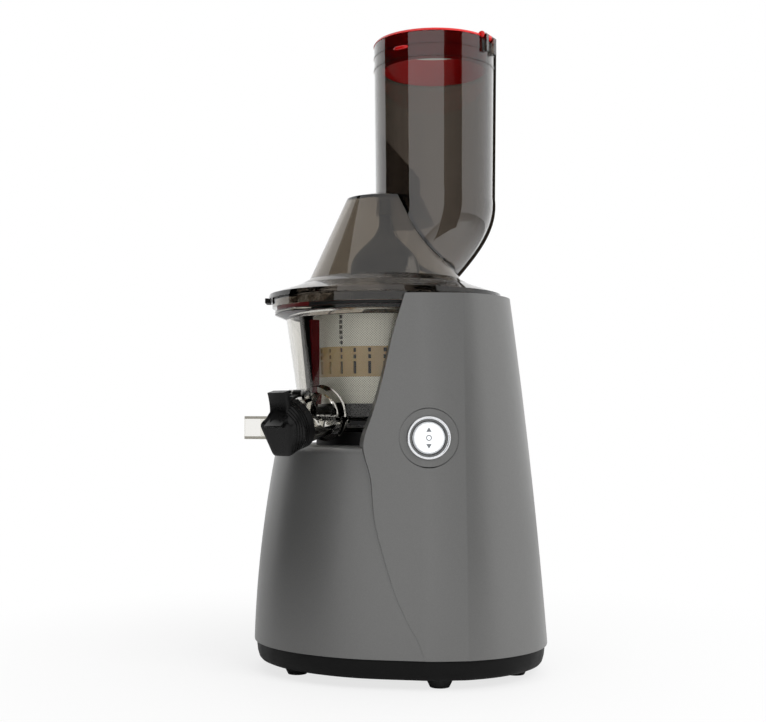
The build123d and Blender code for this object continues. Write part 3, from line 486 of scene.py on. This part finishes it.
FINISH_OF = {
    graphite_lacquer: ("housing", "switch_surround"),
    black_abs: ("base_tray", "mains_inlet", "switch_cell", "gearbox", "bowl_seat", "wiper_frame", "lid_tab"),
    satin_black_abs: ("juice_cap", "strainer_frame"),
    moulded_rubber: ("rubber_feet",),
    black_silicone: ("foot_gasket", "pulp_plug", "shaft_seal", "cap_seal"),
    red_silicone: ("wiper_blades", "rim_gasket"),
    polished_chrome: ("switch_ring",),
    zinc_steel: ("tray_screws", "inlet_pins", "motor_can", "motor_rotor", "output_gear", "auger_shaft",
                 "ring_pin", "cap_pin"),
    copper_wire: ("motor_windings",),
    sintered_bronze: ("output_bearing",),
    solder_resist: ("control_board",),
    clear_copolyester: ("juicing_bowl", "pulp_spout"),
    smoke_chute: ("feed_chute",),
    smoke_lid: ("drum_lid",),
    red_translucent: ("feed_ring",),
    amber_resin: ("strainer_band",),
    etched_mesh: ("strainer_mesh",),
    glass_filled_resin: ("auger",),
    glow_painted_button: ("switch_button",),
}


# ---------------------------------------------------------------- shape tools


def new_piece(name, bm, material):
    """Turns a finished bmesh into an object with one material."""
    mesh = bpy.data.meshes.new(name)
    bm.to_mesh(mesh)
    bm.free()
    mesh.materials.append(material)
    piece = bpy.data.objects.new(name, mesh)
    bpy.context.scene.collection.objects.link(piece)
    return piece


def dress(bm, name, material, body, *nodes):
    """Turns a bmesh into a smooth piece with crisp edges, on its body and in place of its CAD nodes."""
    bmesh.ops.recalc_face_normals(bm, faces=bm.faces)
    for face in bm.faces:
        face.smooth = True
    piece = new_piece(name, bm, material)
    piece.data.set_sharp_from_angle(angle=radians(SHARP_ANGLE))
    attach(piece, body)
    if nodes:
        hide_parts(*nodes)


def plane_piece(name, width, height, material, place):
    """A rectangle in the XY plane, moved to its place."""
    bm = bmesh.new()
    bmesh.ops.create_grid(bm, x_segments=1, y_segments=1, size=0.5)
    bmesh.ops.transform(bm, matrix=place @ Matrix.Diagonal((width, height, 1.0, 1.0)), verts=bm.verts)
    return new_piece(name, bm, material)


def loop_of(bm, points, closed=True):
    """A ring or line of edges through the given points, in metres."""
    verts = [bm.verts.new(point) for point in points]
    pairs = zip(verts, verts[1:] + verts[:1]) if closed else zip(verts, verts[1:])
    return verts, [bm.edges.new(pair) for pair in pairs]


def edges_of(verts):
    """The edges that meet at the vertices, each once and always in the same order."""
    return list(dict.fromkeys(edge for vert in verts for edge in vert.link_edges))


def skin(bm, loops, around=False):
    """Bridges each loop of edges with the next. The last meets the first, or faces close both ends."""
    pairs = zip(loops, loops[1:] + loops[:1]) if around else zip(loops, loops[1:])
    for near, far in pairs:
        bmesh.ops.bridge_loops(bm, edges=near + far)
    if not around:
        for edges in (loops[0], loops[-1]):
            bmesh.ops.contextual_create(bm, geom=edges)


def turned(bm, profile, place, steps=128, closed=True):
    """Spins a profile of radius and height into a ring about the Z axis of the place."""
    points = [place @ Vector((radius * MM, 0, height * MM)) for radius, height in profile]
    verts, edges = loop_of(bm, points, closed)
    bmesh.ops.spin(bm, geom=verts + edges, cent=place.translation, axis=place.col[2].xyz, angle=2 * pi,
                   steps=steps, use_merge=True)


def arc_piece(bm, stations, middle):
    """A bar along an arc about an upright axis, closed at its ends: a turn with a section at each station."""
    loops = []
    for turn, section in stations:
        out = Vector((sin(radians(turn)), -cos(radians(turn)), 0))
        points = [middle + out * radius * MM + Vector((0, 0, height * MM)) for radius, height in section]
        loops.append(loop_of(bm, points)[1])
    skin(bm, loops)


def bevel(bm, edges, width, segments):
    """Rounds the given edges."""
    bmesh.ops.bevel(bm, geom=edges, offset=width * MM, offset_type="OFFSET", affect="EDGES",
                    segments=segments, profile=0.5, material=-1, clamp_overlap=True)


def spread(low, high, count):
    """Evenly spaced values from low to high."""
    return [low + (high - low) * i / (count - 1) for i in range(count)]


def switch_frame(out):
    """Axes along the switch's rocking axis, up and outward, from a point this far out from that axis."""
    rock = JOINTS["switch_rock"]
    along = Vector(rock["axis"]).normalized()
    outward = Vector((along.y, -along.x, sin(radians(SWITCH_TILT)))).normalized()
    axes = Matrix((along, outward.cross(along), outward)).transposed().to_4x4()
    return Matrix.Translation(Vector(rock["pos_m"]) + outward * out * MM) @ axes


# ---------------------------------------------------------------- operators


class JUICER_OT_finishes(bpy.types.Operator):
    """Gives every piece of the frame its finish"""

    bl_idname = "juicer.finishes"
    bl_label = "Finishes"

    def execute(self, context):
        finishes = context.scene.juicer_finishes
        for make, names in FINISH_OF.items():
            material = make(finishes)
            for name in names:
                mesh = NODES[name].data
                mesh.materials.clear()
                mesh.materials.append(material)
        return {"FINISHED"}


SWITCH_RINGS = (  # name, profile, finish and the nodes that it replaces
    ("switch_bezel", BEZEL, polished_chrome, ("switch_ring",)),
    ("switch_collar", COLLAR, graphite_lacquer, ()),
)


class JUICER_OT_bezel(bpy.types.Operator):
    """Turns the switch's bright bezel and the grey collar inside it"""

    bl_idname = "juicer.bezel"
    bl_label = "Switch bezel"

    def execute(self, context):
        finishes = context.scene.juicer_finishes
        for name, profile, make, nodes in SWITCH_RINGS:
            bm = bmesh.new()
            turned(bm, profile, switch_frame(BEZEL_OUT))
            dress(bm, name, make(finishes), "base", *nodes)
        return {"FINISHED"}


class JUICER_OT_rim_band(bpy.types.Operator):
    """Fits thin black bands round the bowl's rim, one over each flank"""

    bl_idname = "juicer.rim_band"
    bl_label = "Rim bands"

    def execute(self, context):
        bm = bmesh.new()
        for side in (1, -1):
            arc_piece(bm, [(side * turn, RIM_BAND) for turn in spread(*BAND_ARC, BAND_STEPS)], AXIS_FOOT)
        dress(bm, "rim_bands", black_silicone(context.scene.juicer_finishes), "drum")
        return {"FINISHED"}


def cap_frame():
    """Axes of the juice tube: across, outward and up, from a point on its middle line."""
    swing = JOINTS["cap_swing"]
    across = -Vector(swing["axis"]).normalized()
    level = Vector((across.y, -across.x, 0))
    slope = radians(CAP_SLOPE)
    outward = level * cos(slope) - Vector((0, 0, sin(slope)))
    upward = level * sin(slope) + Vector((0, 0, cos(slope)))
    start = Vector(swing["pos_m"]) - outward * PIN_OUT * MM - upward * PIN_UP * MM
    return Matrix.Translation(start) @ Matrix((across, outward, upward)).transposed().to_4x4()


def grip_radius(angle):
    """Distance from the cap's middle to its grip's edge: straight sides with rounded corners."""
    near = sum(max(0.0, cos(angle - radians(turn)) / reach) ** GRIP_POWER for turn, reach in GRIP_SIDES)
    return near ** (-1.0 / GRIP_POWER)


def swept_back(outward, up):
    """Keeps the upper part of the grip behind the hollow front of the lever."""
    for (far, high), (near, low) in zip(LEVER_FRONT, LEVER_FRONT[1:]):
        if low <= up <= high:
            return min(outward, far + (near - far) * (high - up) / (high - low))
    return outward


def cap_ring(bm, outward, radius, blend):
    """One ring of the cap's body, between round and the outline of the grip."""
    points = []
    for i in range(CAP_STEPS):
        angle = 2 * pi * i / CAP_STEPS
        reach = radius + blend * (grip_radius(angle) - CAP_R)
        across, up = reach * cos(angle), reach * sin(angle)
        points.append((across * MM, swept_back(outward, up) * MM, up * MM))
    return loop_of(bm, points)[1]


def cap_body(bm):
    """Hollow sleeve with fine ridges that runs out into a grip with straight sides."""
    rings = list(SLEEVE_END)
    for i in range(RIDGES):
        for step, depth in RIDGE:
            outward = RIDGE_START + RIDGE_PITCH * i + step
            blend = min(1.0, max(0.0, (outward - BLEND_START) / BLEND_LENGTH))
            rings.append((outward, CAP_R - depth, blend))
    rings += [(CAP_FACE + step, CAP_R - depth, 1.0) for step, depth in FACE_EDGE]
    rings += [(CAP_FACE, CAP_R * share, 1.0) for share in FACE_RINGS]
    skin(bm, [cap_ring(bm, *ring) for ring in rings])


def cap_lever(bm):
    """Lever whose front sweeps out to a lip for the thumb, with a toothed back."""
    teeth = [(out, TEETH_START + TEETH_PITCH * i + up) for i in range(LEVER_TEETH) for out, up in TOOTH]
    outline = [*LEVER_FRONT, *LEVER_LIP, *teeth, LEVER_TOP]
    verts, edges = loop_of(bm, [(-LEVER_W / 2 * MM, y * MM, z * MM) for y, z in outline])
    side = bmesh.ops.contextual_create(bm, geom=edges)["faces"]
    grown = bmesh.ops.extrude_face_region(bm, geom=side, use_keep_orig=True)["geom"]
    moved = [item for item in grown if isinstance(item, bmesh.types.BMVert)]
    bmesh.ops.translate(bm, vec=(LEVER_W * MM, 0, 0), verts=moved)
    rims = [edge for edge in edges_of(verts + moved) if abs(edge.verts[0].co.x - edge.verts[1].co.x) < 1e-6]
    bevel(bm, rims, LEVER_ROUND, 3)


def cap_hinge(bm):
    """Knuckle on the pin and the web that joins it to the sleeve."""
    pin = Matrix.Translation((0, PIN_OUT * MM, PIN_UP * MM)) @ Matrix.Rotation(pi / 2, 4, "Y")
    turned(bm, KNUCKLE, pin, steps=40)
    web = bmesh.ops.create_cube(bm, size=1.0)["verts"]
    middle = Matrix.Translation(WEB_PLACE * MM) @ Matrix.Rotation(WEB_TILT, 4, "X")
    bmesh.ops.transform(bm, matrix=middle @ Matrix.Diagonal((*(WEB_SIZE * MM), 1.0)), verts=web)
    bevel(bm, edges_of(web), WEB_ROUND, 2)


class JUICER_OT_juice_cap(bpy.types.Operator):
    """Shapes the juice cap: ridged sleeve, straight-sided grip and thumb lever"""

    bl_idname = "juicer.juice_cap"
    bl_label = "Juice cap"

    def execute(self, context):
        bm = bmesh.new()
        cap_body(bm)
        cap_lever(bm)
        cap_hinge(bm)
        bmesh.ops.transform(bm, matrix=cap_frame(), verts=bm.verts)
        dress(bm, "lever_cap", satin_black_abs(context.scene.juicer_finishes), "cap", "juice_cap")
        return {"FINISHED"}


class JUICER_OT_tray_skirt(bpy.types.Operator):
    """Wraps a fuller skirt round the base tray, just under the housing's edge"""

    bl_idname = "juicer.tray_skirt"
    bl_label = "Tray skirt"

    def execute(self, context):
        tray = bmesh.new()
        tray.from_mesh(NODES["base_tray"].data)
        walls = BVHTree.FromBMesh(tray)
        tray.free()
        wall = []
        for i in range(SKIRT_STEPS):
            angle = 2 * pi * i / SKIRT_STEPS
            inward = Vector((-cos(angle), -sin(angle), 0))
            hit, normal, _, _ = walls.ray_cast(Vector((0, 0, SKIRT_Z * MM)) - inward * RAY_START, inward)
            if hit is None:
                raise RuntimeError("the base tray has no wall to wrap")
            wall.append((hit, Vector((normal.x, normal.y, 0)).normalized()))
        bm = bmesh.new()
        loops = []
        for out, height in SKIRT:
            rise = Vector((0, 0, (height - SKIRT_Z) * MM))
            loops.append(loop_of(bm, [spot + outward * out * MM + rise for spot, outward in wall])[1])
        skin(bm, loops, around=True)
        dress(bm, "tray_skirt", black_abs(context.scene.juicer_finishes), "base")
        return {"FINISHED"}


class JUICER_OT_ring_catch(bpy.types.Operator):
    """Sets the red catch of the feed ring on the chute's wall"""

    bl_idname = "juicer.ring_catch"
    bl_label = "Ring catch"

    def execute(self, context):
        low, high = CATCH_Z
        half = degrees(CATCH_ARC / CATCH_R / 2)
        stations = []
        for turn in spread(CATCH_TURN - half, CATCH_TURN + half, CATCH_STEPS):
            taper = (abs(turn - CATCH_TURN) / half) ** 4
            tall = (high - low) / 2 * (1.0 - 0.5 * taper)
            proud = CATCH_PROUD * (1.0 - 0.7 * taper)
            sides = ((CATCH_ROOT, -tall), (proud * 0.7, -tall), (proud, -tall * 0.6), (proud, tall * 0.6),
                     (proud * 0.7, tall), (CATCH_ROOT, tall))
            stations.append((turn, [(CATCH_R + out, (low + high) / 2 + up) for out, up in sides]))
        bm = bmesh.new()
        arc_piece(bm, stations, CHUTE_MIDDLE)
        dress(bm, "ring_catch", red_translucent(context.scene.juicer_finishes), "lid")
        return {"FINISHED"}


class JUICER_OT_pin_heads(bpy.types.Operator):
    """Presses a red head on each end of the feed ring's hinge pin"""

    bl_idname = "juicer.pin_heads"
    bl_label = "Pin heads"

    def execute(self, context):
        swing = JOINTS["ring_swing"]
        turn = Vector((0, 0, 1)).rotation_difference(Vector(swing["axis"])).to_matrix().to_4x4()
        place = Matrix.Translation(swing["pos_m"]) @ turn
        bm = bmesh.new()
        for side in (1, -1):
            profile = [(radius, side * height) for radius, height in PIN_HEAD]
            turned(bm, profile, place, steps=48, closed=False)
        bmesh.ops.remove_doubles(bm, verts=bm.verts, dist=0.001 * MM)
        dress(bm, "pin_heads", red_translucent(context.scene.juicer_finishes), "lid")
        return {"FINISHED"}


class JUICER_OT_switch_marks(bpy.types.Operator):
    """Prints plain marks on the button: a triangle for each way of turning and a circle for off"""

    bl_idname = "juicer.switch_marks"
    bl_label = "Switch marks"

    def execute(self, context):
        bm = bmesh.new()
        for height, corners, radius, inner, turn in MARKS:
            verts = []
            for reach in (radius, inner):
                if reach:
                    verts += bmesh.ops.create_circle(bm, segments=corners, radius=reach * MM)["verts"]
            if inner:
                bmesh.ops.bridge_loops(bm, edges=edges_of(verts))
            else:
                bmesh.ops.contextual_create(bm, geom=edges_of(verts))
            spot = Matrix.Translation((0, height * MM, 0)) @ Matrix.Rotation(radians(turn), 4, "Z")
            bmesh.ops.transform(bm, matrix=switch_frame(FACE_OUT) @ spot, verts=verts)
        bmesh.ops.recalc_face_normals(bm, faces=bm.faces)
        bmesh.ops.solidify(bm, geom=list(bm.faces), thickness=INK_DEPTH * MM)
        marks = new_piece("switch_marks", bm, mark_ink())
        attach(marks, "switch")
        return {"FINISHED"}


def table_finish():
    """Matt white table that takes a soft shadow near the object and runs out to plain white."""
    material, tree, surface, place = new_material("white_table")
    set_sockets(surface, Base_Color=linear("#F4F4F4"), Roughness=0.6)
    away = add(tree, "ShaderNodeVectorMath", {0: place}, operation="LENGTH")
    fade = add(tree, "ShaderNodeMapRange", {"Value": away.outputs["Value"]},
               {"From Min": 0.1, "From Max": 0.45, "To Min": 0.76}, interpolation_type="SMOOTHSTEP")
    path = add(tree, "ShaderNodeLightPath").outputs
    seen = add(tree, "ShaderNodeMath", {0: path["Is Camera Ray"], 1: path["Is Transmission Ray"]},
               operation="MAXIMUM")
    share = add(tree, "ShaderNodeMath", {0: fade.outputs[0], 1: seen.outputs[0]}, operation="MULTIPLY")
    white = add(tree, "ShaderNodeEmission", None, {"Strength": 1.0})
    mix = add(tree, "ShaderNodeMixShader", {0: share.outputs[0], 1: surface.outputs[0], 2: white.outputs[0]})
    tree.links.new(mix.outputs[0], output_of(tree).inputs["Surface"])
    return material


def studio_world(scene):
    """Even, plain light from all round. The camera, gloss and clear plastic see it as white."""
    world = bpy.data.worlds.new("studio")
    world.use_nodes = True
    tree = world.node_tree
    tree.nodes.clear()
    dim = add(tree, "ShaderNodeBackground", None, {"Color": linear("#FFFFFF"), "Strength": 0.42})
    white = add(tree, "ShaderNodeBackground", None, {"Color": linear("#FFFFFF"), "Strength": 1.0})
    path = add(tree, "ShaderNodeLightPath").outputs
    either = add(tree, "ShaderNodeMath", {0: path["Is Camera Ray"], 1: path["Is Transmission Ray"]},
                 operation="MAXIMUM")
    seen = add(tree, "ShaderNodeMath", {0: either.outputs[0], 1: path["Is Glossy Ray"]}, operation="MAXIMUM")
    mix = add(tree, "ShaderNodeMixShader", {0: seen.outputs[0], 1: dim.outputs[0], 2: white.outputs[0]})
    add(tree, "ShaderNodeOutputWorld", {"Surface": mix.outputs[0]})
    scene.world = world


def lamp(name, place, aim, size, watts):
    """A soft rectangular lamp that points at a spot."""
    data = bpy.data.lights.new(name, "AREA")
    data.shape = "RECTANGLE"
    data.size, data.size_y = size
    data.energy = watts
    light = bpy.data.objects.new(name, data)
    light.location = place
    light.rotation_euler = (aim - place).to_track_quat("-Z", "Y").to_euler()
    light.visible_glossy = False
    bpy.context.scene.collection.objects.link(light)


def black_flag(name, turn, width, dims, cloth):
    """A cloth panel that only shows in gloss and, where it dims, in the soft light."""
    around = Matrix.Rotation(turn, 4, "Z")
    spot = Matrix.Translation(AXIS + around @ Vector((0, -FLAG_DISTANCE, FLAG_MIDDLE)))
    flag = plane_piece(name, width, FLAG_HEIGHT, cloth, spot @ around @ Matrix.Rotation(pi / 2, 4, "X"))
    flag.visible_camera = False
    flag.visible_shadow = False
    flag.visible_diffuse = dims


class JUICER_OT_stage(bpy.types.Operator):
    """Sets the table, the light and the camera"""

    bl_idname = "juicer.stage"
    bl_label = "Stage"

    def execute(self, context):
        scene = context.scene
        view = scene.juicer_view
        plane_piece("table", TABLE_SIZE, TABLE_SIZE, table_finish(), Matrix())
        studio_world(scene)
        cloth = flag_cloth()
        for name, turn, width, dims in FLAGS:
            black_flag(name, view.azimuth + radians(turn), width, dims, cloth)
        toward = Vector((sin(view.azimuth), -cos(view.azimuth), 0))
        right = Vector((cos(view.azimuth), sin(view.azimuth), 0))
        aim = AXIS + Vector((0, 0, AIM_UP))
        for name, (near, side, up), size, watts in LAMPS:
            lamp(name, aim + toward * near + right * side + Vector((0, 0, up)), aim, size, watts)
        data = bpy.data.cameras.new("camera")
        data.sensor_width = SENSOR_WIDTH
        data.lens = view.focal
        camera = bpy.data.objects.new("camera", data)
        camera.location = AXIS + toward * view.distance + right * view.sideways
        camera.location.z = view.height
        camera.rotation_euler = (pi / 2 + view.pitch, 0, view.azimuth)
        scene.collection.objects.link(camera)
        scene.camera = camera
        scene.view_settings.view_transform = "Standard"
        return {"FINISHED"}


class JUICER_PT_panel(bpy.types.Panel):
    """Lists the steps that dress the juicer"""

    bl_idname = "JUICER_PT_panel"
    bl_label = "Cold press juicer"
    bl_space_type = "VIEW_3D"
    bl_region_type = "UI"
    bl_category = "Juicer"

    def draw(self, context):
        for step in STEPS:
            self.layout.operator(step.bl_idname)
        for name in ("lacquer", "smoke", "ring_red", "blade_red", "amber", "black"):
            self.layout.prop(context.scene.juicer_finishes, name)


STEPS = (JUICER_OT_finishes, JUICER_OT_bezel, JUICER_OT_switch_marks, JUICER_OT_rim_band, JUICER_OT_juice_cap,
         JUICER_OT_tray_skirt, JUICER_OT_ring_catch, JUICER_OT_pin_heads, JUICER_OT_stage)
CLASSES = (JuicerFinishes, JuicerView, *STEPS, JUICER_PT_panel)


def register():
    for item in CLASSES:
        bpy.utils.register_class(item)
    bpy.types.Scene.juicer_finishes = PointerProperty(type=JuicerFinishes)
    bpy.types.Scene.juicer_view = PointerProperty(type=JuicerView)


def unregister():
    del bpy.types.Scene.juicer_finishes
    del bpy.types.Scene.juicer_view
    for item in reversed(CLASSES):
        bpy.utils.unregister_class(item)


def main():
    register()
    for step in STEPS:
        group, name = step.bl_idname.split(".")
        getattr(getattr(bpy.ops, group), name)()


if __name__ == "__main__":
    main()
